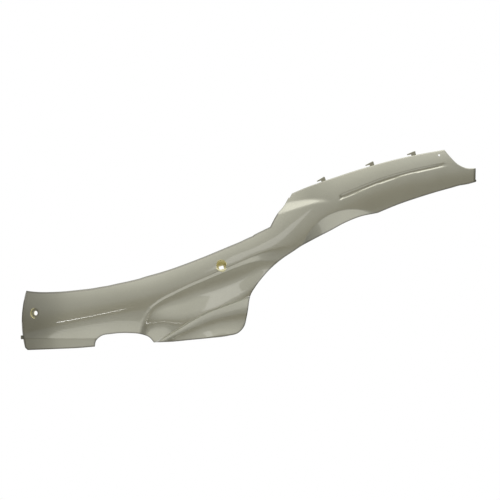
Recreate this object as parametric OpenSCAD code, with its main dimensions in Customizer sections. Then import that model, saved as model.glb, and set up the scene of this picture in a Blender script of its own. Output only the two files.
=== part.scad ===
// Lower side fairing panel of a scooter or small motorcycle, left side of the vehicle.
// One injection moulding. +X runs to the tail, +Z is up, and the painted face looks along -Y.
// The origin is on the floor of the centre fixing's cup, on the axis of its nut hole.

/* [Panel] */
// Overall length, from the front edge to the tail's end
panel_length = 822; // [760:2:880]
// Wall thickness
wall = 2.8; // [2.4:0.1:3.4]
// Depth of the lip that the lower edge turns back
lip_depth = 6; // [4:0.5:9]

/* [Sculpted surface] */
// How far the front end wraps back round the leg shield
front_wrap = 30; // [20:1:36]
// How far the tail closes in towards the seat
tail_wrap = 28; // [15:1:40]
// How far the face curls back, 60 mm above its spine
top_curl = 15; // [10:1:20]
// How far the front's face curls back, 60 mm below its spine
low_curl = 24; // [16:1:30]
// Step in under the main crease
crease_step = 5; // [3:0.5:7]
// How far the lobe stands out again below that step
lobe_out = 9; // [6:0.5:12]
// Step in under the lower crease, where the fin starts
fin_step = 2.5; // [1.5:0.25:4]
// Depth of the hollow in the fin
fin_hollow = 5; // [3:0.5:7]
// Depth of the shoulder's ledge at the waist
shoulder_step = 4; // [2.5:0.5:7]
// How steeply the scoop under the tail leans in
scoop_lean = 31; // [22:1:36]
// Depth of the styling groove along the tail
groove_depth = 1.8; // [1.2:0.1:2.6]
// Width of the styling groove
groove_width = 9; // [7:0.5:12]

/* [Centre fixing] */
// Bore of the cup that hides the screw head
cup_bore = 18; // [16:0.5:20]
// Depth of the cup along its axis
cup_depth = 12; // [10:0.5:14]
// Width of the nut's hole in the cup's floor
nut_hole_w = 8.8; // [7:0.1:9.6]
// Height of the nut's hole in the cup's floor
nut_hole_h = 7.6; // [6:0.1:8.4]
// Upward tilt of the cup's axis
cup_tilt = 25; // [18:1:30]

/* [Front fixing] */
// Bore of the screw hole in the front dish
front_bore = 8.4; // [6:0.1:9.5]
// Diameter of the dish round the front screw
dish_bore = 18; // [16:0.5:21]
// Depth of the dish
dish_depth = 4; // [3:0.5:6]

/* [Rear fixing] */
// Bore of the rear locating hole
rear_bore = 3.6; // [3:0.1:4.5]

/* [Tabs and ribs] */
// How far the front tab stands out past the edge
front_tab = 5; // [3:0.5:7]
// Height of the stiffening ribs behind the hooks and the cup
rib_height = 6; // [4:0.5:8]
// Thickness of a rib
rib_wall = 1.8; // [1.4:0.1:2.2]

/* [Hooks] */
// Length of a hook along the edge
hook_length = 16; // [13:0.5:18]
// Length of a hook's neck along the edge
hook_neck = 8.5; // [6:0.5:9]
// Height of a hook above the edge
hook_height = 7.5; // [6.5:0.5:10]
// Gap between a hook's arm and the edge
hook_gap = 2.4; // [2:0.1:2.8]
// Thickness of a hook's arm at its tip
hook_tip = 2; // [1.6:0.1:2.4]

/* [Hidden] */

k = panel_length / 822;
boss_wall = wall - 0.3;

// Sections of the panel from the front edge to the tail's end: top x, top z, bottom x, bottom z,
// and a 1 where the top or the bottom edge has a corner.
SECTIONS = [
    [-353.5, -42, -355.5, -145, 1, 1],
    [-346, -43, -350.5, -149.5, 0, 1],
    [-291.5, -43.5, -291.5, -147, 0, 0],
    [-259, -40.5, -259, -145.5, 0, 0],
    [-230, -37, -228.5, -143, 0, 1],
    [-219, -35, -226.5, -133, 0, 0],
    [-206.5, -33, -218, -124.5, 0, 0],
    [-188.5, -29, -197.5, -120, 0, 0],
    [-167, -24.5, -168.5, -118.5, 0, 0],
    [-147, -19.5, -143.5, -121, 0, 0],
    [-134.5, -15.5, -130.5, -126, 0, 0],
    [-123.5, -12.5, -122, -135.5, 0, 1],
    [-96.5, -4.5, -93, -134.5, 0, 0],
    [-64, 7, -56.5, -131, 0, 0],
    [-31.5, 19.5, -20.5, -127.5, 0, 0],
    [-2.5, 31.5, 12, -123.5, 0, 0],
    [19, 40.5, 30, -118.5, 0, 0],
    [33.5, 46.5, 40, -108.5, 0, 0],
    [46, 52.5, 46, -88.5, 0, 0],
    [56.5, 57, 49, -70.5, 1, 0],
    [59.5, 59.5, 50, -62.5, 1, 0],
    [73.5, 66.5, 53, -49.5, 0, 0],
    [88, 73.5, 61.5, -35, 1, 0],
    [93, 83.5, 73.5, -19, 0, 0],
    [101.5, 98, 89.5, -1.5, 0, 0],
    [112.5, 111, 111, 16.5, 0, 0],
    [121, 126, 127.5, 27.5, 1, 0],
    [123.5, 126.5, 132, 30.5, 1, 0],
    [127.5, 134, 140, 36, 1, 0],
    [152.5, 144.5, 167, 51, 0, 0],
    [181.5, 155, 196, 66, 0, 0],
    [214, 166, 225, 81.5, 0, 0],
    [243, 175.5, 250, 91.5, 0, 0],
    [275.5, 185, 282.5, 98.5, 0, 1],
    [315, 195.5, 319, 113.5, 0, 0],
    [358.5, 205, 358.5, 127, 0, 0],
    [403, 213, 398, 139, 1, 0],
    [413.5, 200.5, 414.5, 143.5, 0, 0],
    [428, 186.5, 430.5, 148, 0, 0],
    [442.5, 180, 445, 150.5, 0, 0],
    [460, 179.5, 459.5, 154.5, 1, 1]
];
LAST = len(SECTIONS) - 1;
TOP = [for (s = SECTIONS) [s[0], s[1]]];
BOTTOM = [for (s = SECTIONS) [s[2], s[3]]];
TOP_CORNER = [for (s = SECTIONS) s[4]];
BOTTOM_CORNER = [for (s = SECTIONS) s[5]];

// Lines and amounts along the panel: the first x, the spacing, and a value at each spacing
MAIN_CREASE = [-150, 30, [-78, -62, -47, -32, -19.5, -6, 7, 22, 30, 35.5, 41, 46]];
LOWER_CREASE = [-150, 30, [-152, -134, -117, -97.5, -80.5, -69, -58.5, -48, -38]];
FOLD = [-360, 60, [-128.5, -128.5, -128.5]];
SPINE = [-360, 40, [-114, -106, -98, -90, -81, -72, -62, -50, -36, -24, -12,
    -2, 18, 48, 84, 108, 122, 134, 144, 152, 157, 160]];
TOP_CURL = [-360, 80, [0.5, 0.52, 0.65, 0.8, 0.75, 0.52, 0.42, 0.6, 0.48, 0.48, 0.5]];
LOW_CURL = [-360, 80, [0.9, 1, 0.9, 0.2, 0, 0.04, 0.22, 0.26, 0.26, 0.24, 0.24]];
STEP_ALONG = [-150, 30, [0, 0.35, 0.6, 0.65, 0.7, 0.8, 0.9, 0.9, 0.55, 0.45, 0.3, 0, 0]];
STEP_WIDTH = [-150, 30, [3, 3, 3, 3, 3.5, 4, 5, 10, 20, 26, 28]];
COVE_WIDTH = [-150, 30, [0, 5, 8, 9, 11, 14, 17, 19, 20, 20]];
RISE_WIDTH = [-150, 30, [15, 24, 44, 58, 60, 60, 52, 40, 34, 30]];
LOBE_ALONG = [-150, 30, [0.6, 0.75, 0.95, 1, 1, 0.94, 0.8, 0.62, 0.38, 0.12, 0, 0]];
SHOULDER_TOP = [90, 20, [105, 113.5, 118.5, 122.5, 124, 122.5, 116, 107]];
SHOULDER_FOOT = [90, 20, [92, 99, 105, 111, 116, 118.5, 114, 105]];
SCOOP_TOP = [130, 20, [15, 55, 81, 95, 103, 106.5, 106, 102, 95, 86]];
GROOVE_TOP = [200, 30, [125.5, 138, 150, 162, 171, 178.5, 185, 191, 196]];

function unit(p) = p / norm(p);
function rise(a, b, x) = let (t = min(1, max(0, (x - a) / (b - a)))) t * t * (3 - 2 * t);
// From 0 at a to 1 at b with one even slope, rounded at both ends
function ramp(a, b, x, soft = 0.18) =
    let (t = min(1, max(0, (x - a) / (b - a))), q = 2 * soft * (1 - soft))
    t < soft ? t * t / q :
    t > 1 - soft ? 1 - (1 - t) * (1 - t) / q :
    (t - soft / 2) / (1 - soft);
// Smooth curve that the values of a line draw, level beyond both ends
function along(p, x) =
    let (c = p[2], s = min(len(c) - 1, max(0, (x - p[0]) / p[1])), i = min(len(c) - 2, floor(s)), t = s - i,
        a = c[max(0, i - 1)], d = c[min(len(c) - 1, i + 2)])
    (a * pow(1 - t, 3) + c[i] * (3 * t * t * t - 6 * t * t + 4)
        + c[i + 1] * (-3 * t * t * t + 3 * t * t + 3 * t + 1) + d * t * t * t) / 6;
function slant(p, x) = (along(p, x + 1) - along(p, x - 1)) / 2;
// Distance below the line p, square to it
function below(p, x, z) = (along(p, x) - z) / sqrt(1 + pow(slant(p, x), 2));

// Direction of an edge at its point i: the chord before it, after it, or between the two on a smooth stretch
function heading(p, corner, i, after) =
    i == 0 ? unit(p[1] - p[0]) :
    i == len(p) - 1 ? unit(p[i] - p[i - 1]) :
    corner[i] == 1 ? (after ? unit(p[i + 1] - p[i]) : unit(p[i] - p[i - 1])) :
    let (a = p[i] - p[i - 1], b = p[i + 1] - p[i]) unit(unit(a) * norm(b) + unit(b) * norm(a));
function edge(p, corner, u) =
    let (i = min(len(p) - 2, floor(u)), t = u - i, w = norm(p[i + 1] - p[i]),
        g = heading(p, corner, i, true), h = heading(p, corner, i + 1, false))
    p[i] * (1 + 2 * t) * (1 - t) * (1 - t) + g * w * t * (1 - t) * (1 - t)
    + p[i + 1] * t * t * (3 - 2 * t) - h * w * t * t * (1 - t);

// The face curls back above and below its spine, and stands up straight under the front's fold
function curl(x, z) =
    let (t = below(SPINE, x, z), fold = x < -180 ? max(0, along(FOLD, x) - z) : 0)
    top_curl * along(TOP_CURL, x) * pow(min(0, t) / 60, 2)
    + low_curl * along(LOW_CURL, x) * pow(max(0, max(0, t) - fold) / 60, 2)
    - 0.12 * fold * (1 - rise(-226, -190, x));
function wrap_back(x) =
    front_wrap * pow(max(0, -235 - x) / 120, 3)
    + tail_wrap * pow(max(0, x - 100) / 360, 2);
// Distance inside the lobe's outline, which runs round from the main crease into the front flank
function inside(x, z) =
    let (a = below(MAIN_CREASE, x, z), b = 0.94 * (x + 154 - 0.35 * (z + 123)), h = max(0, 35 - abs(a - b)) / 35)
    min(a, b) - 35 * pow(h, 3) / 6;
// The fin is set back and a little hollow, t below the lower crease
function fin(x, t) =
    let (reach = max(8, 0.9 * (along(LOWER_CREASE, x) + 135.5 - 0.09 * (x + 122))), p = min(1, max(0, t / reach)))
    fin_step + fin_hollow * reach / 50 * 4 * p * (1 - p) * (1.3 - 0.6 * p);
function lobe(x, z) =
    x <= -160 || x >= 210 ? 0 :
    let (d = inside(x, z), t = below(LOWER_CREASE, x, z), w = along(STEP_WIDTH, x), c = along(COVE_WIDTH, x),
        on_fin = ramp(0, 3, t) * (1 - rise(70, 110, x)) * rise(-132, -118, x))
    crease_step * along(STEP_ALONG, x) * ramp(-1 - 4 * rise(50, 110, x), w, d)
    + fin(x, t) * on_fin
    - lobe_out * along(LOBE_ALONG, x) * ramp(c, c + along(RISE_WIDTH, x), d, 0.35) * (1 - 0.7 * on_fin);
function shoulder(x, z) =
    x <= 80 || x >= 210 ? 0 :
    let (a = along(SHOULDER_FOOT, x), b = along(SHOULDER_TOP, x))
    shoulder_step * (1 - rise(120, 205, x)) * rise(84, 98, x) * ramp(a, max(a + 3, b), z);
function scoop(x, z) =
    x <= 130 || x >= 300 ? 0 :
    let (t = max(0, below(SCOOP_TOP, x, z)))
    tan(scoop_lean) * (t < 3 ? t * t / 6 : t - 1.5) * rise(140, 160, x) * (1 - rise(225, 290, x));
function groove(x, z) =
    x <= 200 ? 0 :
    let (t = below(GROOVE_TOP, x, z), w = groove_width * (1 - 0.22 * rise(216, 407, x)))
    groove_depth * (0.6 * ramp(0, 2.2, t) + 0.4 * ramp(1, 6.4, t)) * (1 - ramp(w - 1.6, w, t))
    * rise(212, 218, x) * (1 - rise(380, 412, x));
// How far the painted face lies back behind its outermost plane
function face_back(x, z) =
    curl(x, z) + wrap_back(x) + lobe(x, z) + shoulder(x, z) + scoop(x, z) + groove(x, z);

// A section's point, where v runs from 0 at the top edge to 1 at the bottom edge
function place(u, v) =
    let (t = edge(TOP, TOP_CORNER, u), b = edge(BOTTOM, BOTTOM_CORNER, u),
        bow = -7 * 4 * v * (1 - v) * (1 - rise(0, 1.6, u)))
    [t[0] + (b[0] - t[0]) * v + bow, t[1] + (b[1] - t[1]) * v];
function section_length(u) = norm(edge(TOP, TOP_CORNER, u) - edge(BOTTOM, BOTTOM_CORNER, u));
function depth_at(u, v) = let (p = place(u, v)) face_back(p[0], p[1]);
// Extra depth along Y that keeps the wall's thickness where the face slopes
function slope_gain(u, v) =
    let (p = place(u, v), d = 3,
        sx = (face_back(p[0] + d, p[1]) - face_back(p[0] - d, p[1])) / (2 * d),
        sz = (face_back(p[0], p[1] + d) - face_back(p[0], p[1] - d)) / (2 * d))
    min(1.6, sqrt(1 + sx * sx + sz * sz));

// Origin of the part: the centre of the cup's floor
rim_z = cup_depth * sin(cup_tilt);
y_shift = face_back(0, rim_z / k) * k + cup_depth * cos(cup_tilt);

// Where a section crosses the line p
function crossing(u, p, v0 = 0.6, n = 4) =
    n == 0 ? v0 :
    let (q = place(u, v0), c = section_length(u) * (1 - slant(p, q[0]) * section_skew(u)))
    crossing(u, p, v0 + (q[1] - along(p, q[0])) / c, n - 1);
function section_skew(u) =
    let (d = edge(BOTTOM, BOTTOM_CORNER, u) - edge(TOP, TOP_CORNER, u)) d[0] / d[1];
function limit(x, a, b) = min(b, max(a, x));

// Two rows of points follow the creases, the groove and the scoop along the panel
function upper_track(u) =
    u < 10.4 ? 0.44 :
    u < 27 ? crossing(u, MAIN_CREASE, 0.4) :
    u < 31 ? lookup(u, [[27, crossing(27, MAIN_CREASE, 0.4)], [31, crossing(31, GROOVE_TOP, 0.4)]]) :
    crossing(min(u, 36), GROOVE_TOP, 0.4);
function lower_track(u) =
    u < 4 ? crossing(u, FOLD, 0.8) :
    u < 11 ? lookup(u, [[4, crossing(4, FOLD, 0.8)], [8, 0.92], [11, 0.93]]) :
    u < 21 ? limit(crossing(u, LOWER_CREASE, 0.7), 0.6, 0.93) :
    u < 29 ? lookup(u, [[21, 0.93], [24, 0.85], [28, 0.82], [29, 0.78]]) :
    u < 33 ? limit(crossing(u, SCOOP_TOP, 0.7), 0.6, 0.93) :
    lookup(u, [[33, 0.93], [36, 0.8], [40, 0.78]]);

pitch = 9.5;
across = 23;
STATIONS = [
    for (i = [0 : LAST - 1])
        let (w = max(norm(TOP[i + 1] - TOP[i]), norm(BOTTOM[i + 1] - BOTTOM[i])), n = max(1, round(w / pitch)))
        for (s = [0 : n - 1]) i + s / n,
    LAST
];
ROWS = len(STATIONS) - 1;
function even(a, b, n) = [for (i = [1 : n]) a + (b - a) * i / n];
// Places across a section: close together at both edges and just below each track
function places_across(u) =
    let (n = section_length(u), a = 2.6 / n, b = 3.6 / n, t = upper_track(u), s = lower_track(u),
        c = min(1, 0.4 * (s - t) * n / 9) / n, d = min(1, 0.6 * (1 - b - s) * n / 7) / n)
    [0, a, each even(a, t, 6), t + 2.5 * c, t + 6.5 * c, t + 9 * c, each even(t + 9 * c, s, 6),
        s + 3.5 * d, s + 7 * d, each even(s + 7 * d, 1 - b, 3), 1 - a, 1];
function outer_point(u, v, j) =
    let (p = place(u, v))
    [p[0] * k, depth_at(u, v) * k - y_shift + (j == 0 || j == across ? 1.1 : 0), p[1] * k];
function inner_point(u, v, j) =
    let (p = place(u, v))
    [p[0] * k, depth_at(u, v) * k - y_shift + wall * slope_gain(u, v) + (j >= across - 1 ? lip_depth - wall : 0),
        p[1] * k];

module shell() {
    n = across + 1;
    m = n * (ROWS + 1);
    points = [
        for (u = STATIONS) let (v = places_across(u)) for (j = [0 : across]) outer_point(u, v[j], j),
        for (u = STATIONS) let (v = places_across(u)) for (j = [0 : across]) inner_point(u, v[j], j)
    ];
    faces = [
        for (i = [0 : ROWS - 1]) for (j = [0 : across - 1])
            let (a = i * n + j)
            each [[a, a + n, a + n + 1], [a, a + n + 1, a + 1],
                [m + a, m + a + n + 1, m + a + n], [m + a, m + a + 1, m + a + n + 1]],
        for (i = [0 : ROWS - 1])
            let (a = i * n, b = i * n + across)
            each [[m + a, m + a + n, a + n], [m + a, a + n, a],
                [b, b + n, m + b + n], [b, m + b + n, m + b]],
        for (j = [0 : across - 1])
            let (a = j, b = ROWS * n + j)
            each [[m + a, a, a + 1], [m + a, a + 1, m + a + 1],
                [b, m + b, m + b + 1], [b, m + b + 1, b + 1]]
    ];
    polyhedron(points = points, faces = faces, convexity = 8);
}

// A hook whose arm points forward, with its foot on the edge at section u
module hook(u) {
    t = edge(TOP, TOP_CORNER, u);
    d = edge(TOP, TOP_CORNER, u + 0.05) - edge(TOP, TOP_CORNER, u - 0.05);
    translate([t[0] * k, depth_at(u, 0) * k - y_shift + wall + 0.6, t[1] * k])
        rotate([90, 0, 0]) rotate([0, 0, atan2(d[1], d[0])]) linear_extrude(height = wall)
            polygon([
                [-hook_neck / 2, -6], [hook_neck / 2, -6], [hook_neck / 2, hook_height - 1],
                [hook_neck / 2 - 1, hook_height], [hook_neck / 2 - hook_length, hook_gap + hook_tip],
                [hook_neck / 2 - hook_length, hook_gap + 0.6],
                [hook_neck / 2 - hook_length + 0.6, hook_gap], [-hook_neck / 2, hook_gap]
            ]);
}

// Turns +Z to point square out of the face at an upward tilt and a turn towards the front
module facing(x, y, z, tilt, turn) {
    translate([x, y, z]) rotate([0, 0, -turn]) rotate([90 - tilt, 0, 0]) children();
}

// An upright rib behind the face between two heights, tapered at both ends
module rib(x, low, high) {
    steps = 8;
    function level(i) = low + (high - low) * i / steps;
    function face(i) = face_back(x, level(i)) * k - y_shift;
    translate([x * k + rib_wall / 2, 0, 0]) rotate([0, -90, 0]) linear_extrude(height = rib_wall)
        polygon([
            for (i = [0 : steps]) [level(i) * k, face(i) + wall * 0.6],
            for (i = [steps : -1 : 0])
                [level(i) * k, face(i) + wall + rib_height * rise(0, 0.35, i / steps) * (1 - rise(0.65, 1, i / steps))]
        ]);
}

// A small flat tab that stands out of the front edge or the tail's end
module edge_tab(u, v, turn, reach, height) {
    p = place(u, v);
    translate([p[0] * k, depth_at(u, v) * k - y_shift, p[1] * k]) rotate([0, 0, turn])
        translate([-reach, turn > 90 ? 0.3 - wall : 0.3, -height / 2]) cube([reach + 6, wall, height]);
}

FRONT = [-338, -82.5];
REAR = [393.5, 203];
front_y = face_back(FRONT[0], FRONT[1]) * k - y_shift;
rear_y = face_back(REAR[0], REAR[1]) * k - y_shift;
front_turn = atan(3 * front_wrap / 120 * pow((-235 - FRONT[0]) / 120, 2));
tail_turn = atan(2 * tail_wrap * 350 / 360 / 360);

module fairing_panel() {
    color([0.6, 0.6, 0.54]) difference() {
        union() {
            shell();
            for (u = [30.1, 32.9, 34.75]) hook(u);
            facing(0, 0, 0, cup_tilt, 0) translate([0, 0, -boss_wall])
                cylinder(d = cup_bore + 2 * boss_wall, h = cup_depth + boss_wall - 2, $fn = 48);
            facing(FRONT[0] * k, front_y, FRONT[1] * k, 0, front_turn) translate([0, 0, -dish_depth - boss_wall])
                cylinder(d = dish_bore + 2 * boss_wall, h = dish_depth + boss_wall - 2.4, $fn = 48);
            edge_tab(0, 0.82, -front_turn, front_tab, 7);
            edge_tab(LAST, 0.9, 180 + tail_turn, 1.5, 4);
            rib(0, 12, 27);
            rib(184, 122, 152);
            rib(272, 150, 181);
            rib(347, 168, 199);
        }
        facing(0, 0, 0, cup_tilt, 0) cylinder(d = cup_bore, h = 40, $fn = 48);
        facing(0, 0, 0, cup_tilt, 0) rotate([0, 0, 17]) translate([-nut_hole_w / 2, -nut_hole_h / 2, -20])
            cube([nut_hole_w, nut_hole_h, 30]);
        facing(FRONT[0] * k, front_y, FRONT[1] * k, 0, front_turn) translate([0, 0, -dish_depth])
            cylinder(d = dish_bore, h = 30, $fn = 48);
        facing(FRONT[0] * k, front_y, FRONT[1] * k, 0, front_turn) translate([0, 0, -30])
            cylinder(d = front_bore, h = 60, $fn = 48);
        translate([REAR[0] * k, rear_y + 20, REAR[1] * k]) rotate([90, 0, 0]) cylinder(d = rear_bore, h = 60, $fn = 32);
    }
}

fairing_panel();
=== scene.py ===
"""Lower side fairing panel: the painted moulding with its fixings, in a plain studio."""

import math

import bmesh
import bpy
from mathutils import Matrix, Vector
from mathutils.kdtree import KDTree


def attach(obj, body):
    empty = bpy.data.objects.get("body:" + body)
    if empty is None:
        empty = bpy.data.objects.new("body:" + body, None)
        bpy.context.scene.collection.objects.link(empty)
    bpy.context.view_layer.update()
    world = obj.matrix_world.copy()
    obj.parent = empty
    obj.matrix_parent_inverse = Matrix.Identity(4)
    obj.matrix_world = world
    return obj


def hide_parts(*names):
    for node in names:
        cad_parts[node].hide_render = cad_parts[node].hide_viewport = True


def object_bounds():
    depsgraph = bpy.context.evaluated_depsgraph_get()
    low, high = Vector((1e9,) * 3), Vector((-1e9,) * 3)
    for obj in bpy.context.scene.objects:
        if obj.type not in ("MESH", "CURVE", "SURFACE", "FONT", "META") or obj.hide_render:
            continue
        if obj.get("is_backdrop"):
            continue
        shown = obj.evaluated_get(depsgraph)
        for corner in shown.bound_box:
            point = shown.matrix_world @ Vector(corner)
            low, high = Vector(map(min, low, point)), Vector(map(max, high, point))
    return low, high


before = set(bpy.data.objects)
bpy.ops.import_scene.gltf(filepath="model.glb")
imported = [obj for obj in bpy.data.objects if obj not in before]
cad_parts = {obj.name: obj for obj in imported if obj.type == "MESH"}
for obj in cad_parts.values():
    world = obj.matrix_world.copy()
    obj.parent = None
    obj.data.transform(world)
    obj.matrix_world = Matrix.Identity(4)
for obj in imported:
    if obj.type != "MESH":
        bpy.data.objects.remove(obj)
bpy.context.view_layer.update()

# The panel's sections from the front edge to the tail's end, in millimetres: top x, top z,
# bottom x, bottom z, and a 1 where the top or the bottom edge has a corner. A section is
# known by its number u, and a place on it by its share v of the way from top to bottom.
SECTIONS = [
    (-353.5, -42, -355.5, -145, 1, 1),
    (-346, -43, -350.5, -149.5, 0, 1),
    (-291.5, -43.5, -291.5, -147, 0, 0),
    (-259, -40.5, -259, -145.5, 0, 0),
    (-230, -37, -228.5, -143, 0, 1),
    (-219, -35, -226.5, -133, 0, 0),
    (-206.5, -33, -218, -124.5, 0, 0),
    (-188.5, -29, -197.5, -120, 0, 0),
    (-167, -24.5, -168.5, -118.5, 0, 0),
    (-147, -19.5, -143.5, -121, 0, 0),
    (-134.5, -15.5, -130.5, -126, 0, 0),
    (-123.5, -12.5, -122, -135.5, 0, 1),
    (-96.5, -4.5, -93, -134.5, 0, 0),
    (-64, 7, -56.5, -131, 0, 0),
    (-31.5, 19.5, -20.5, -127.5, 0, 0),
    (-2.5, 31.5, 12, -123.5, 0, 0),
    (19, 40.5, 30, -118.5, 0, 0),
    (33.5, 46.5, 40, -108.5, 0, 0),
    (46, 52.5, 46, -88.5, 0, 0),
    (56.5, 57, 49, -70.5, 1, 0),
    (59.5, 59.5, 50, -62.5, 1, 0),
    (73.5, 66.5, 53, -49.5, 0, 0),
    (88, 73.5, 61.5, -35, 1, 0),
    (93, 83.5, 73.5, -19, 0, 0),
    (101.5, 98, 89.5, -1.5, 0, 0),
    (112.5, 111, 111, 16.5, 0, 0),
    (121, 126, 127.5, 27.5, 1, 0),
    (123.5, 126.5, 132, 30.5, 1, 0),
    (127.5, 134, 140, 36, 1, 0),
    (152.5, 144.5, 167, 51, 0, 0),
    (181.5, 155, 196, 66, 0, 0),
    (214, 166, 225, 81.5, 0, 0),
    (243, 175.5, 250, 91.5, 0, 0),
    (275.5, 185, 282.5, 98.5, 0, 1),
    (315, 195.5, 319, 113.5, 0, 0),
    (358.5, 205, 358.5, 127, 0, 0),
    (403, 213, 398, 139, 1, 0),
    (413.5, 200.5, 414.5, 143.5, 0, 0),
    (428, 186.5, 430.5, 148, 0, 0),
    (442.5, 180, 445, 150.5, 0, 0),
    (460, 179.5, 459.5, 154.5, 1, 1),
]
LAST = len(SECTIONS) - 1
TOP = [(s[0], s[1]) for s in SECTIONS]
BOTTOM = [(s[2], s[3]) for s in SECTIONS]
TOP_CORNER = [s[4] for s in SECTIONS]
BOTTOM_CORNER = [s[5] for s in SECTIONS]

# Lines and amounts along the panel: first x, spacing, then one value at each spacing.
MAIN_CREASE = (-150, 30, [-78, -62, -47, -32, -19.5, -6, 7, 22, 30, 35.5, 41, 46])
LOWER_CREASE = (-150, 30, [-152, -134, -117, -97.5, -80.5, -69, -58.5, -48, -38])
FOLD = (-360, 60, [-128.5, -128.5, -128.5])
SPINE = (-360, 40, [
    -114, -106, -98, -90, -81, -72, -62, -50, -36, -24, -12,
    -2, 18, 48, 84, 108, 122, 134, 144, 152, 157, 160,
])
TOP_CURL = (-360, 80, [0.5, 0.52, 0.65, 0.8, 0.75, 0.52, 0.42, 0.6, 0.48, 0.48, 0.5])
LOW_CURL = (-360, 80, [0.9, 1, 0.9, 0.2, 0, 0.04, 0.22, 0.26, 0.26, 0.24, 0.24])
STEP_ALONG = (-150, 30, [0, 0.35, 0.6, 0.65, 0.7, 0.8, 0.9, 0.9, 0.55, 0.45, 0.3, 0, 0])
STEP_WIDTH = (-150, 30, [3, 3, 3, 3, 3.5, 4, 5, 10, 20, 26, 28])
COVE_WIDTH = (-150, 30, [0, 5, 8, 9, 11, 14, 17, 19, 20, 20])
RISE_WIDTH = (-150, 30, [15, 24, 44, 58, 60, 60, 52, 40, 34, 30])
LOBE_ALONG = (-150, 30, [0.6, 0.75, 0.95, 1, 1, 0.94, 0.8, 0.62, 0.38, 0.12, 0, 0])
SHOULDER_TOP = (90, 20, [105, 113.5, 118.5, 122.5, 124, 122.5, 116, 107])
SHOULDER_FOOT = (90, 20, [92, 99, 105, 111, 116, 118.5, 114, 105])
SCOOP_TOP = (130, 20, [15, 55, 81, 95, 103, 106.5, 106, 102, 95, 86])
GROOVE_TOP = (200, 30, [125.5, 138, 150, 162, 171, 178.5, 185, 191, 196])

# Forms of the face: how far each one sets the face back or brings it out, in millimetres.
TOP_CURL_DEPTH, LOW_CURL_DEPTH, CURL_REACH = 15, 24, 60
FOLD_SLOPE = 0.12
FRONT_START, FRONT_REACH, FRONT_WRAP = -235, 120, 30
TAIL_START, TAIL_REACH, TAIL_WRAP = 100, 360, 28
STEP_DEPTH, LOBE_DEPTH, TIP_TUCK = 5, 9, 3
OUTLINE_BLEND = 35
FIN_SET_BACK, FIN_HOLLOW = 2.5, 5
SHOULDER_DEPTH = 4
SCOOP_LEAN, SCOOP_ROUND = math.radians(31), 3
GROOVE_DEPTH, GROOVE_WIDTH = 1.8, 9

# The moulding and its fixings, in millimetres.
WALL = 2.8
LIP, LIP_WIDTH = 6.0, 2.9
EDGE_ROUND = 1.3
FRONT_BOW = -28
FRONT_STEP, TAIL_STEP = 25, 17  # widths of the first and the last section
CUP_BORE, CUP_DEPTH, CUP_TILT = 18.0, 12.0, math.radians(25)
NUT_HOLE, NUT_TURN, NUT_ROUND = (8.8, 7.6, 30), math.radians(17), 0.6
DISH_X, DISH_Z = -338, -82.5
DISH_BORE, DISH_DEPTH, FRONT_BORE = 18.0, 4.0, 8.4
REAR_X, REAR_Z, REAR_RADIUS = 393.5, 203, 1.8
BOSS_WALL = 2.5
RIBS = ((0, 12, 27), (184, 122, 152), (272, 150, 181), (347, 168, 199))  # x, low z, high z
RIB_THICK, RIB_HEIGHT = 1.8, 6
HOOKS_AT = (30.1, 32.9, 34.75)
CLOSE = 0.0002  # metres: a face centre this close to a bore's surface lies on it


def rise(a, b, x):
    """From 0 at a to 1 at b, easing in and out."""
    t = min(1.0, max(0.0, (x - a) / (b - a)))
    return t * t * (3 - 2 * t)


def ramp(a, b, x, soft=0.18):
    """From 0 at a to 1 at b with one even slope, rounded at both ends."""
    t = min(1.0, max(0.0, (x - a) / (b - a)))
    if t < soft:
        return t * t / (2 * soft * (1 - soft))
    if t > 1 - soft:
        return 1 - (1 - t) ** 2 / (2 * soft * (1 - soft))
    return (t - soft / 2) / (1 - soft)


def along(line, x):
    """Smooth curve that the values of a line draw, level beyond both ends."""
    first, step, c = line
    s = min(len(c) - 1, max(0.0, (x - first) / step))
    i = min(len(c) - 2, int(s))
    t = s - i
    a, d = c[max(0, i - 1)], c[min(len(c) - 1, i + 2)]
    return (
        a * (1 - t) ** 3
        + c[i] * (3 * t**3 - 6 * t * t + 4)
        + c[i + 1] * (-3 * t**3 + 3 * t * t + 3 * t + 1)
        + d * t**3
    ) / 6


def slant(line, x):
    return (along(line, x + 1) - along(line, x - 1)) / 2


def below(line, x, z):
    """Distance below a line, square to it."""
    return (along(line, x) - z) / math.sqrt(1 + slant(line, x) ** 2)


def table(rows, x):
    """Straight between the rows, level beyond both ends."""
    if x <= rows[0][0]:
        return rows[0][1]
    for (xa, ya), (xb, yb) in zip(rows, rows[1:]):
        if x <= xb:
            return ya + (yb - ya) * (x - xa) / (xb - xa)
    return rows[-1][1]


def heading(p, corner, i, after):
    """Direction of an edge at its point i, just after or just before it."""
    ahead = Vector(p[min(i + 1, len(p) - 1)]) - Vector(p[i])
    behind = Vector(p[i]) - Vector(p[max(i - 1, 0)])
    if i == 0 or (corner[i] and after):
        return ahead.normalized()
    if i == len(p) - 1 or corner[i]:
        return behind.normalized()
    return (behind.normalized() * ahead.length + ahead.normalized() * behind.length).normalized()


def edge(p, corner, u):
    """Point of an edge at section u."""
    i = min(len(p) - 2, int(u))
    t = u - i
    a, b = Vector(p[i]), Vector(p[i + 1])
    w = (b - a).length
    g, h = heading(p, corner, i, True), heading(p, corner, i + 1, False)
    return (
        a * (1 + 2 * t) * (1 - t) ** 2
        + g * w * t * (1 - t) ** 2
        + b * t * t * (3 - 2 * t)
        - h * w * t * t * (1 - t)
    )


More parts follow.
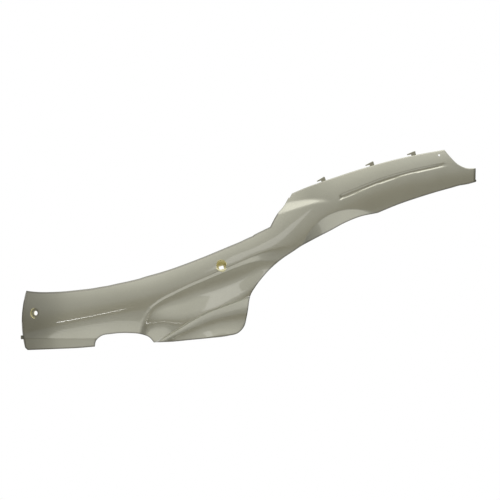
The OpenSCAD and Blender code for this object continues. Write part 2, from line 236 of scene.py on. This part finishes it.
class Section:
    """One section across the panel: its ends, and where the creases cross it."""

    def __init__(self, u):
        self.u = u
        self.top = edge(TOP, TOP_CORNER, u)
        self.bottom = edge(BOTTOM, BOTTOM_CORNER, u)
        self.run = self.bottom - self.top
        self.length = self.run.length
        self.bow = FRONT_BOW * (1 - rise(0, 1.6, u))

    def place(self, v):
        p = self.top + self.run * v
        return p.x + self.bow * v * (1 - v), p.y

    def back(self, v):
        return face_back(*self.place(v))

    def gain(self, v):
        """Extra depth that keeps the wall's thickness where the face slopes."""
        x, z = self.place(v)
        across = (face_back(x + 3, z) - face_back(x - 3, z)) / 6
        upright = (face_back(x, z + 3) - face_back(x, z - 3)) / 6
        return min(1.6, math.sqrt(1 + across * across + upright * upright))

    def crossing(self, line, v):
        """Where a line crosses this section, found from a first guess v."""
        skew = self.run.x / self.run.y
        for _ in range(5):
            x, z = self.place(v)
            v += (z - along(line, x)) / (self.length * (1 - slant(line, x) * skew))
        return v

    def tracks(self):
        """Where the upper and the lower track, which follow the creases, cross this section."""
        u = self.u
        if u < 10.4:
            upper = 0.44
        elif u < 27:
            upper = self.crossing(MAIN_CREASE, 0.4)
        elif u < 31:
            first = Section(27).crossing(MAIN_CREASE, 0.4)
            upper = table([(27, first), (31, Section(31).crossing(GROOVE_TOP, 0.4))], u)
        else:
            upper = (self if u < 36 else Section(36)).crossing(GROOVE_TOP, 0.4)
        if u < 4:
            lower = self.crossing(FOLD, 0.8)
        elif u < 11:
            lower = table([(4, Section(4).crossing(FOLD, 0.8)), (8, 0.92), (11, 0.93)], u)
        elif u < 21:
            lower = min(0.93, max(0.6, self.crossing(LOWER_CREASE, 0.7)))
        elif u < 29:
            lower = table([(21, 0.93), (24, 0.85), (28, 0.82), (29, 0.78)], u)
        elif u < 33:
            lower = min(0.93, max(0.6, self.crossing(SCOOP_TOP, 0.7)))
        else:
            lower = table([(33, 0.93), (36, 0.8), (40, 0.78)], u)
        return min(upper, lower - 0.15), lower


# The painted face


def curl(x, z):
    """The face curls back above and below its spine, and stands up under the front's fold."""
    t = below(SPINE, x, z)
    fold = max(0, along(FOLD, x) - z) if x < -180 else 0
    return (
        TOP_CURL_DEPTH * along(TOP_CURL, x) * (min(0, t) / CURL_REACH) ** 2
        + LOW_CURL_DEPTH * along(LOW_CURL, x) * (max(0, max(0, t) - fold) / CURL_REACH) ** 2
        - FOLD_SLOPE * fold * (1 - rise(-226, -190, x))
    )


def inside(x, z):
    """Distance inside the lobe's outline, from the main crease round into the front flank."""
    a = below(MAIN_CREASE, x, z)
    b = 0.94 * (x + 154 - 0.35 * (z + 123))
    h = max(0, OUTLINE_BLEND - abs(a - b)) / OUTLINE_BLEND
    return min(a, b) - OUTLINE_BLEND * h**3 / 6


def fin(x, t):
    """How far the fin is set back, t below the lower crease: a shallow hollow."""
    reach = max(8, 0.9 * (along(LOWER_CREASE, x) + 135.5 - 0.09 * (x + 122)))
    p = min(1, max(0, t / reach))
    return FIN_SET_BACK + FIN_HOLLOW * reach / 50 * 4 * p * (1 - p) * (1.3 - 0.6 * p)


def lobe(x, z):
    """The step and cove under the main crease, the lobe that rises below them, and the fin."""
    d = inside(x, z)
    w, c = along(STEP_WIDTH, x), along(COVE_WIDTH, x)
    t = below(LOWER_CREASE, x, z)
    on_fin = ramp(0, 3, t) * (1 - rise(70, 110, x)) * rise(-132, -118, x)
    step = along(STEP_ALONG, x) * ramp(-1 - 4 * rise(50, 110, x), w, d)
    swell = along(LOBE_ALONG, x) * ramp(c, c + along(RISE_WIDTH, x), d, 0.35)
    at_tip = rise(-137, -125, x) * (1 - rise(-105, -80, x))
    return (
        STEP_DEPTH * step
        + fin(x, t) * on_fin
        - LOBE_DEPTH * swell * (1 - 0.7 * on_fin)
        + TIP_TUCK * (max(0, -88 - z) / 40) ** 2 * at_tip
    )


def shoulder(x, z):
    """The ledge at the waist."""
    foot, top = along(SHOULDER_FOOT, x), along(SHOULDER_TOP, x)
    there = (1 - rise(120, 205, x)) * rise(84, 98, x)
    return SHOULDER_DEPTH * there * ramp(foot, max(foot + 3, top), z)


def scoop(x, z):
    """The undercut below the tail: a rounded start, then one even lean."""
    t = max(0, below(SCOOP_TOP, x, z))
    depth = t * t / (2 * SCOOP_ROUND) if t < SCOOP_ROUND else t - SCOOP_ROUND / 2
    return math.tan(SCOOP_LEAN) * depth * rise(140, 160, x) * (1 - rise(225, 290, x))


def groove(x, z):
    """The styling groove along the tail, shallower towards its lower side."""
    t = below(GROOVE_TOP, x, z)
    w = GROOVE_WIDTH * (1 - 0.22 * rise(216, 407, x))
    hollow = (0.6 * ramp(0, 2.2, t) + 0.4 * ramp(1, 6.4, t)) * (1 - ramp(w - 1.6, w, t))
    return GROOVE_DEPTH * hollow * rise(212, 218, x) * (1 - rise(380, 412, x))


def face_back(x, z):
    """How far the painted face lies back behind its outermost plane at x, z."""
    y = (
        curl(x, z)
        + FRONT_WRAP * (max(0, FRONT_START - x) / FRONT_REACH) ** 3
        + TAIL_WRAP * (max(0, x - TAIL_START) / TAIL_REACH) ** 2
    )
    if -160 < x < 210:
        y += lobe(x, z)
    if 80 < x < 210:
        y += shoulder(x, z)
    if 130 < x < 300:
        y += scoop(x, z)
    if x > 200:
        y += groove(x, z)
    return y


# The origin is the floor of the cup, which lies this far behind the outermost plane.
Y_SHIFT = face_back(0, CUP_DEPTH * math.sin(CUP_TILT)) + CUP_DEPTH * math.cos(CUP_TILT)


# The shell's grid of points


def even(a, b, n):
    return [a + (b - a) * (i + 1) / n for i in range(n)]


def places_across(section):
    """Where rows of points cross a section: close at both edges and below each track."""
    n = section.length
    upper, lower = section.tracks()
    c = min(1, 0.4 * (lower - upper) * n / 9) / n
    d = min(1, 0.6 * (1 - 3.6 / n - lower) * n / 7) / n
    return (
        [0, 0.12 / n, 0.4 / n, 0.8 / n, 1.3 / n, 2.0 / n]
        + even(2.0 / n, upper, 24)
        + even(upper, upper + 9 * c, 8)
        + even(upper + 9 * c, lower, 30)
        + even(lower, lower + 7 * d, 6)
        + even(lower + 7 * d, 1 - 3.4 / n, 10)
        + [1 - gap / n for gap in (2.8, 2.0, 1.3, 0.8, 0.4, 0.12)]
        + [1]
    )


def rounding(distance):
    """Set-back of the painted face close to an edge, where it rolls over."""
    t = min(EDGE_ROUND, max(0, distance))
    return EDGE_ROUND - math.sqrt(max(0, EDGE_ROUND * EDGE_ROUND - (EDGE_ROUND - t) ** 2))


def stations():
    """The numbers u of all sections, about 2.5 mm apart."""
    us = []
    for i in range(LAST):
        a = (Vector(TOP[i + 1]) - Vector(TOP[i])).length
        b = (Vector(BOTTOM[i + 1]) - Vector(BOTTOM[i])).length
        n = max(1, round(max(a, b) / 2.5))
        us += [i + s / n for s in range(n)]
    return us + [LAST]


def mesh_object(name, bm, materials):
    mesh = bpy.data.meshes.new(name)
    bm.to_mesh(mesh)
    bm.free()
    for m in materials:
        mesh.materials.append(m)
    obj = bpy.data.objects.new(name, mesh)
    bpy.context.scene.collection.objects.link(obj)
    return obj


def shell_mesh(us, sections):
    """The moulded wall: a grid, extruded into a closed wall, then laid on the two faces."""
    rows = [places_across(s) for s in sections]
    nu, nv = len(us) - 1, len(rows[0]) - 1
    bm = bmesh.new()
    bmesh.ops.create_grid(bm, x_segments=nu, y_segments=nv, size=1)
    lift = bmesh.ops.extrude_face_region(bm, geom=bm.faces[:], use_keep_orig=True)["geom"]
    back = {e for e in lift if isinstance(e, bmesh.types.BMVert)}
    for f in lift:
        if isinstance(f, bmesh.types.BMFace):
            f.material_index = 1
    for vert in bm.verts:
        i = round((vert.co.x + 1) / 2 * nu)
        s, v = sections[i], rows[i][round((1 - vert.co.y) / 2 * nv)]
        x, z = s.place(v)
        y = s.back(v) - Y_SHIFT
        if vert in back:
            lip = LIP - WALL if (1 - v) * s.length < LIP_WIDTH else 0
            y += WALL * s.gain(v) + lip
        else:
            to_edge = min(v, 1 - v) * s.length
            if us[i] < 1:
                to_edge = min(to_edge, us[i] * FRONT_STEP)
            if LAST - us[i] < 1:
                to_edge = min(to_edge, (LAST - us[i]) * TAIL_STEP)
            y += rounding(to_edge)
        vert.co = (x * 0.001, y * 0.001, z * 0.001)
    bmesh.ops.recalc_face_normals(bm, faces=bm.faces[:])
    if bm.calc_volume(signed=True) < 0:
        bmesh.ops.reverse_faces(bm, faces=bm.faces[:])
    for f in bm.faces:
        f.smooth = True
    return bm


# Small forms, all sized in millimetres


def facing(x, y, z, tilt, turn):
    """Turns +Z to point out of the face, tilted up and turned to the front."""
    return (
        Matrix.Translation((x * 0.001, y * 0.001, z * 0.001))
        @ Matrix.Rotation(-turn, 4, "Z")
        @ Matrix.Rotation(math.pi / 2 - tilt, 4, "X")
    )


def rod(bm, radius, low, high, matrix):
    """A closed round rod from low to high along the matrix's Z."""
    bmesh.ops.create_cone(
        bm, cap_ends=True, cap_tris=False, segments=96,
        radius1=radius * 0.001, radius2=radius * 0.001, depth=(high - low) * 0.001,
        matrix=matrix @ Matrix.Translation((0, 0, (low + high) / 2000)),
    )


def block(bm, size, matrix, round_off):
    shape = matrix @ Matrix.Diagonal((*[c * 0.001 for c in size], 1))
    made = bmesh.ops.create_cube(bm, size=1, matrix=shape)
    edges = {e for v in made["verts"] for e in v.link_edges}
    bmesh.ops.bevel(
        bm, geom=list(edges), offset=round_off * 0.001,
        segments=3, profile=0.5, affect="EDGES", material=-1,
    )


def plate(bm, outline, thickness, round_off):
    """A flat plate of the outline, from z 0 to its thickness."""
    face = bm.faces.new([bm.verts.new((a * 0.001, b * 0.001, 0)) for a, b in outline])
    out = bmesh.ops.extrude_face_region(bm, geom=[face], use_keep_orig=True)["geom"]
    raised = [e for e in out if isinstance(e, bmesh.types.BMVert)]
    bmesh.ops.translate(bm, vec=(0, 0, thickness * 0.001), verts=raised)
    bmesh.ops.recalc_face_normals(bm, faces=bm.faces[:])
    bmesh.ops.bevel(
        bm, geom=bm.edges[:], offset=round_off * 0.001,
        segments=2, profile=0.5, affect="EDGES", material=-1,
    )


def rib(x, low, high):
    """An upright rib behind the face between two heights, tapered at both ends."""
    bm = bmesh.new()
    front, back = [], []
    for i in range(9):
        t = i / 8
        z = low + (high - low) * t
        y = face_back(x, z) - Y_SHIFT
        front.append((z, y + WALL * 0.6))
        back.append((z, y + WALL + RIB_HEIGHT * rise(0, 0.35, t) * (1 - rise(0.65, 1, t))))
    plate(bm, front + back[:0:-1] + back[:1], RIB_THICK, 0.25)
    stand = (
        Matrix.Translation(((x + RIB_THICK / 2) * 0.001, 0, 0))
        @ Matrix.Rotation(-math.pi / 2, 4, "Y")
    )
    bmesh.ops.transform(bm, matrix=stand, verts=bm.verts[:])
    return bm


def edge_tab(u, v, turn, side, stands_out, height):
    """A small flat tab that stands out of the front edge or the tail's end."""
    s = Section(u)
    x, z = s.place(v)
    y = s.back(v) - Y_SHIFT
    length = stands_out + 6
    into_wall = ((length / 2 - stands_out) * 0.001, side * (0.3 + WALL / 2) * 0.001, 0)
    place = (
        Matrix.Translation((x * 0.001, y * 0.001, z * 0.001))
        @ Matrix.Rotation(turn, 4, "Z")
        @ Matrix.Translation(into_wall)
    )
    bm = bmesh.new()
    block(bm, (length, WALL, height), place, 0.5)
    return bm


def hook(u):
    """An L-shaped hook on the top edge: a neck, and a tapered arm that points forward."""
    neck, length, height, gap, tip, foot = 8.5, 16, 7.5, 2.4, 2, 6
    near, far = neck / 2, neck / 2 - length
    bm = bmesh.new()
    plate(bm, [
        (-near, -foot), (near, -foot), (near, height - 1), (near - 1, height),
        (far, gap + tip), (far, gap + 0.6), (far + 0.6, gap), (-near, gap),
    ], WALL, 0.4)
    s = Section(u)
    x, z = s.place(0)
    y = s.back(0) - Y_SHIFT + WALL + 0.6
    d = edge(TOP, TOP_CORNER, u + 0.05) - edge(TOP, TOP_CORNER, u - 0.05)
    turn = (
        Matrix.Translation((x * 0.001, y * 0.001, z * 0.001))
        @ Matrix.Rotation(math.pi / 2, 4, "X")
        @ Matrix.Rotation(math.atan2(d.y, d.x), 4, "Z")
    )
    bmesh.ops.transform(bm, matrix=turn, verts=bm.verts[:])
    return mesh_object("edge_hook", bm, [PAINT])


def boolean(obj, bm, material, operation):
    """Joins a form to the panel or cuts it out, and applies the result."""
    other = mesh_object("form", bm, [material])
    m = obj.modifiers.new(operation.lower(), "BOOLEAN")
    m.operation = operation
    m.solver = "MANIFOLD"
    m.object = other
    dg = bpy.context.evaluated_depsgraph_get()
    mesh = bpy.data.meshes.new_from_object(obj.evaluated_get(dg))
    obj.modifiers.clear()
    old = obj.data
    obj.data = mesh
    bpy.data.meshes.remove(old)
    bpy.data.objects.remove(other)


# Materials


def node(tree, kind, **settings):
    n = tree.nodes.new(kind)
    for key, value in settings.items():
        setattr(n, key, value)
    return n


def ramp_node(tree, source, stops):
    """A colour ramp; each stop is a place and a grey level or a colour."""
    n = node(tree, "ShaderNodeValToRGB")
    n.color_ramp.interpolation = "EASE"
    stop = n.color_ramp.elements
    stop[0].position, stop[1].position = stops[0][0], stops[-1][0]
    for place, _ in stops[1:-1]:
        stop.new(place)
    for e, (_, level) in zip(stop, stops):
        e.color = (*level, 1) if isinstance(level, tuple) else (level, level, level, 1)
    tree.links.new(source, n.inputs["Fac"])
    return n.outputs["Color"]


def pattern(tree, scale, detail, rough=0.5):
    """Noise on the panel's own coordinates; the scale is in waves a metre."""
    where = node(tree, "ShaderNodeTexCoord")
    noise = node(tree, "ShaderNodeTexNoise")
    noise.inputs["Scale"].default_value = scale
    noise.inputs["Detail"].default_value = detail
    noise.inputs["Roughness"].default_value = rough
    tree.links.new(where.outputs["Object"], noise.inputs["Vector"])
    return noise.outputs["Fac"]


def spread(tree, source, low, high, to_low=0, to_high=1, smooth=False):
    """Carries the span from low to high over to another span."""
    n = node(tree, "ShaderNodeMapRange", interpolation_type="SMOOTHSTEP" if smooth else "LINEAR")
    spans = (("From Min", low), ("From Max", high), ("To Min", to_low), ("To Max", to_high))
    for name, value in spans:
        n.inputs[name].default_value = value
    tree.links.new(source, n.inputs["Value"])
    return n.outputs["Result"]


def blend(tree, factor, a, b, how="MIX"):
    """Mixes two colours; factor, a and b are values or sockets."""
    n = node(tree, "ShaderNodeMix", data_type="RGBA", blend_type=how)
    for socket, value in ((n.inputs[0], factor), (n.inputs[6], a), (n.inputs[7], b)):
        if isinstance(value, bpy.types.NodeSocket):
            tree.links.new(value, socket)
        else:
            socket.default_value = value
    return n.outputs[2]


def join(tree, how, a, b):
    """One number from two: their product or the larger one."""
    n = node(tree, "ShaderNodeMath", operation=how)
    tree.links.new(a, n.inputs[0])
    tree.links.new(b, n.inputs[1])
    return n.outputs[0]


def bump(tree, source, strength, distance):
    n = node(tree, "ShaderNodeBump")
    n.inputs["Strength"].default_value = strength
    n.inputs["Distance"].default_value = distance
    tree.links.new(source, n.inputs["Height"])
    return n.outputs["Normal"]


def stored(tree, name):
    """A value stored on the piece's points."""
    n = node(tree, "ShaderNodeAttribute", attribute_type="GEOMETRY", attribute_name=name)
    return n.outputs["Fac"]


def principled(name):
    m = bpy.data.materials.new(name)
    m.use_nodes = True
    return m, m.node_tree, m.node_tree.nodes["Principled BSDF"]


def painted_finish():
    """Silver-beige metallic paint under clear lacquer: flakes, clouds, orange peel, and a painted
    shade that darkens the rim.
    """
    m, tree, shader = principled("painted_finish")
    link = tree.links.new
    silver, beige = (0.43, 0.422, 0.322, 1), (0.45, 0.444, 0.348, 1)
    cloud = blend(tree, spread(tree, pattern(tree, 9, 3), 0.3, 0.7), silver, beige)
    flakes = spread(tree, pattern(tree, 1500, 2, 0.7), 0.35, 0.65)
    lit = blend(tree, 1.0, cloud, (1.12, 1.12, 1.12, 1), "MULTIPLY")
    base = blend(tree, flakes, cloud, lit)
    # Painted shade along the rim: the stored edge shade darkens the base colour to about a third.
    dark = blend(tree, 1.0, base, (0.3, 0.29, 0.27, 1), "MULTIPLY")
    link(blend(tree, stored(tree, "painted_edge_shade"), base, dark), shader.inputs["Base Color"])
    link(spread(tree, pattern(tree, 40, 4), 0.3, 0.7, 0.32, 0.38), shader.inputs["Roughness"])
    shader.inputs["Metallic"].default_value = 0.8
    shader.inputs["Coat Weight"].default_value = 1.0
    shader.inputs["Coat Roughness"].default_value = 0.03
    shader.inputs["Coat IOR"].default_value = 2.0
    link(bump(tree, flakes, 0.12, 0.0001), shader.inputs["Normal"])
    link(bump(tree, pattern(tree, 160, 1), 0.01, 0.0004), shader.inputs["Coat Normal"])
    return m


def raw_plastic():
    """Cream moulded plastic with flow clouds and a fine grain, sprayed over near the edges."""
    m, tree, shader = principled("raw_plastic")
    link = tree.links.new
    cream, pale = (0.78, 0.72, 0.4, 1), (0.86, 0.81, 0.52, 1)
    speck, overspray = (0.62, 0.58, 0.38, 1), (0.4, 0.395, 0.335, 1)
    cloud = blend(tree, spread(tree, pattern(tree, 6, 4), 0.3, 0.7), cream, pale)
    specks = spread(tree, pattern(tree, 420, 2), 0.62, 0.72, 0, 0.25)
    base = blend(tree, specks, cloud, speck)
    drift = spread(tree, pattern(tree, 70, 4, 0.7), 0.35, 0.65, 0.45, 1)
    near_edge = spread(tree, stored(tree, "to_edge"), 0.002, 0.016, 0.9, 0, True)
    mist = join(tree, "MULTIPLY", near_edge, drift)
    link(blend(tree, mist, base, overspray), shader.inputs["Base Color"])
    link(spread(tree, pattern(tree, 25, 3), 0.3, 0.7, 0.42, 0.58), shader.inputs["Roughness"])
    link(bump(tree, pattern(tree, 900, 2), 0.08, 0.0003), shader.inputs["Normal"])
    return m


# The panel

PAINT, RAW = painted_finish(), raw_plastic()

us = stations()
sections = [Section(u) for u in us]
panel = mesh_object("fairing_shell", shell_mesh(us, sections), [PAINT, RAW])

front_slope = 3 * FRONT_WRAP / FRONT_REACH * ((FRONT_START - DISH_X) / FRONT_REACH) ** 2
tail_slope = 2 * TAIL_WRAP * 350 / TAIL_REACH / TAIL_REACH
front_turn, tail_turn = math.atan(front_slope), math.atan(tail_slope)
cup = facing(0, 0, 0, CUP_TILT, 0)
dish = facing(DISH_X, face_back(DISH_X, DISH_Z) - Y_SHIFT, DISH_Z, 0, front_turn)
rear = facing(REAR_X, 0, REAR_Z, 0, 0)

bosses = bmesh.new()
rod(bosses, CUP_BORE / 2 + BOSS_WALL, -BOSS_WALL, CUP_DEPTH - 2, cup)
rod(bosses, DISH_BORE / 2 + BOSS_WALL, -DISH_DEPTH - BOSS_WALL, -2.4, dish)
boolean(panel, bosses, RAW, "UNION")
for x, low, high in RIBS:
    boolean(panel, rib(x, low, high), RAW, "UNION")
boolean(panel, edge_tab(0, 0.82, -front_turn, 1, 5, 7), PAINT, "UNION")
boolean(panel, edge_tab(LAST, 0.9, math.pi + tail_turn, -1, 1.5, 4), PAINT, "UNION")

for low, high, radius, where in (
    (0, 40, CUP_BORE / 2, cup), (-DISH_DEPTH, 30, DISH_BORE / 2, dish),
    (-30, 30, FRONT_BORE / 2, dish), (-30, 40, REAR_RADIUS, rear),
):
    cut = bmesh.new()
    rod(cut, radius, low, high, where)
    boolean(panel, cut, RAW, "DIFFERENCE")
cut = bmesh.new()
block(cut, NUT_HOLE, cup @ Matrix.Rotation(NUT_TURN, 4, "Z"), NUT_ROUND)
boolean(panel, cut, RAW, "DIFFERENCE")


def store(obj, name, values):
    obj.data.attributes.new(name, "FLOAT", "POINT").data.foreach_set("value", values)


def measure_to_edge(obj):
    """Stores each point's distance from the moulding's edge, and how much painted shade darkens
    the edge there.
    """
    pale_from, pale = 24, 0.15  # the tail's top edge looks up into the light
    rim = []
    for s in sections:
        rim += [(*s.place(0), pale if s.u > pale_from else 1), (*s.place(1), 1)]
    for s in (sections[0], sections[-1]):
        rim += [(*s.place(v / 60), 1) for v in range(61)]
    tree = KDTree(len(rim))
    for i, (x, z, _) in enumerate(rim):
        tree.insert((x * 0.001, 0, z * 0.001), i)
    tree.balance()
    near = [tree.find((v.co.x, 0, v.co.z)) for v in obj.data.vertices]
    store(obj, "to_edge", [n[2] for n in near])
    # Painted shade: full within 0.8 mm of the edge, gone by 3.2 mm.
    store(obj, "painted_edge_shade", [rim[n[1]][2] * (1 - rise(0.0008, 0.0032, n[2])) for n in near])


def bare_fixings(obj):
    """The cup stays bare inside, and so does the dish's wall that faces the tail."""
    into_cup, into_dish = cup.inverted(), dish.inverted()
    for p in obj.data.polygons:
        a, b = into_cup @ p.center, into_dish @ p.center
        if a.xy.length < CUP_BORE / 2000 + CLOSE and a.z > -CLOSE:
            p.material_index = 1
        elif b.xy.length < DISH_BORE / 2000 + CLOSE and b.z > -DISH_DEPTH / 1000 - CLOSE:
            wall = b.xy.length > DISH_BORE / 2000 - 0.0005
            p.material_index = 1 if wall and b.x < 0 else 0


measure_to_edge(panel)
bare_fixings(panel)
hooks = [hook(u) for u in HOOKS_AT]

panel.data.set_sharp_from_angle(angle=math.radians(38))
for piece in [panel] + hooks:
    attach(piece, "root")
    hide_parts("fairing_panel")

# Studio

FLOOR_AT, FLOOR_HALF = (0.05, -0.6, -0.62), 0.85
# The room's light by height, from straight down at 0 to straight up at 1
ROOM_STOPS = [
    (0.0, 0.6), (0.42, 0.4), (0.465, (0.22, 0.2, 0.16)),
    (0.52, (0.22, 0.2, 0.16)), (0.62, 0.5), (0.8, 0.98),
]
# and its share from the front's side at 0 to the tail's side at 1
SIDE_STOPS = [
    (0.0, 0.55), (0.25, 0.64), (0.4, 0.9), (0.5, 1.0),
    (0.57, 1.08), (0.66, 0.95), (0.8, 0.6), (1.0, 0.6),
]


def studio_floor():
    finish, _, shader = principled("pale_floor")
    shader.inputs["Base Color"].default_value = (0.92, 0.92, 0.92, 1)
    shader.inputs["Roughness"].default_value = 0.9
    bm = bmesh.new()
    bmesh.ops.create_grid(
        bm, x_segments=1, y_segments=1, size=FLOOR_HALF, matrix=Matrix.Translation(FLOOR_AT)
    )
    return mesh_object("studio_floor", bm, [finish])


def studio_world():
    """A soft room, dark at the height of the camera and light overhead; the backdrop is white."""
    world = bpy.data.worlds.new("studio_world")
    bpy.context.scene.world = world
    world.use_nodes = True
    tree = world.node_tree
    where = node(tree, "ShaderNodeTexCoord")
    axes = node(tree, "ShaderNodeSeparateXYZ")
    tree.links.new(where.outputs["Generated"], axes.inputs[0])
    height = ramp_node(tree, spread(tree, axes.outputs["Z"], -1, 1), ROOM_STOPS)
    sides = ramp_node(tree, spread(tree, axes.outputs["X"], -1, 1), SIDE_STOPS)
    room = tree.nodes["Background"]
    room.inputs["Strength"].default_value = 1.12
    tree.links.new(blend(tree, 1.0, height, sides, "MULTIPLY"), room.inputs["Color"])
    backdrop = node(tree, "ShaderNodeBackground")
    backdrop.inputs["Color"].default_value = (1, 1, 1, 1)
    backdrop.inputs["Strength"].default_value = 1.0
    ray = node(tree, "ShaderNodeLightPath").outputs
    behind = spread(tree, axes.outputs["Y"], 0.3, 0.8, smooth=True)
    shiny = join(tree, "MULTIPLY", ray["Is Glossy Ray"], behind)
    seen = join(tree, "MAXIMUM", ray["Is Camera Ray"], ray["Is Transmission Ray"])
    mix = node(tree, "ShaderNodeMixShader")
    tree.links.new(join(tree, "MAXIMUM", seen, shiny), mix.inputs["Fac"])
    tree.links.new(room.outputs["Background"], mix.inputs[1])
    tree.links.new(backdrop.outputs["Background"], mix.inputs[2])
    tree.links.new(mix.outputs["Shader"], tree.nodes["World Output"].inputs["Surface"])


def softbox(name, place, aim, width, height, power):
    light = bpy.data.lights.new(name, "AREA")
    light.shape = "RECTANGLE"
    light.size, light.size_y = width, height
    light.energy = power
    obj = bpy.data.objects.new(name, light)
    obj.location = place
    obj.rotation_mode = "QUATERNION"
    obj.rotation_quaternion = (Vector(aim) - Vector(place)).to_track_quat("-Z", "Y")
    bpy.context.scene.collection.objects.link(obj)


studio_floor()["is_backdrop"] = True
studio_world()
softbox("top_softbox", (0.1, -0.8, 1.6), (0.05, 0, 0), 2.4, 1.6, 9.5)
softbox("front_board", (-0.12, -1.4, 0.43), (-0.005, 0, -0.05), 0.09, 0.16, 0.033)
softbox("strip", (-0.55, -1.4, -0.09), (-0.2, 0, -0.1), 0.72, 0.012, 0.17)

# Camera: the photograph's side view, 500 pixels wide, each 1.805 mm
PICTURE, PIXEL = 500, 0.001805
ORIGIN = (221.4, 267.5)  # the part's origin in the picture
lens = bpy.data.cameras.new("camera")
lens.lens = 500
lens.sensor_width = 36
lens.clip_end = 50
camera = bpy.data.objects.new("camera", lens)
reach = PICTURE * PIXEL * lens.lens / lens.sensor_width
camera.location = (
    (PICTURE / 2 - ORIGIN[0]) * PIXEL, -reach - 0.01, (ORIGIN[1] - PICTURE / 2) * PIXEL
)
camera.rotation_euler = (math.pi / 2, 0, 0)
bpy.context.scene.collection.objects.link(camera)
bpy.context.scene.camera = camera

bpy.context.scene.view_settings.view_transform = "Standard"

low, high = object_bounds()
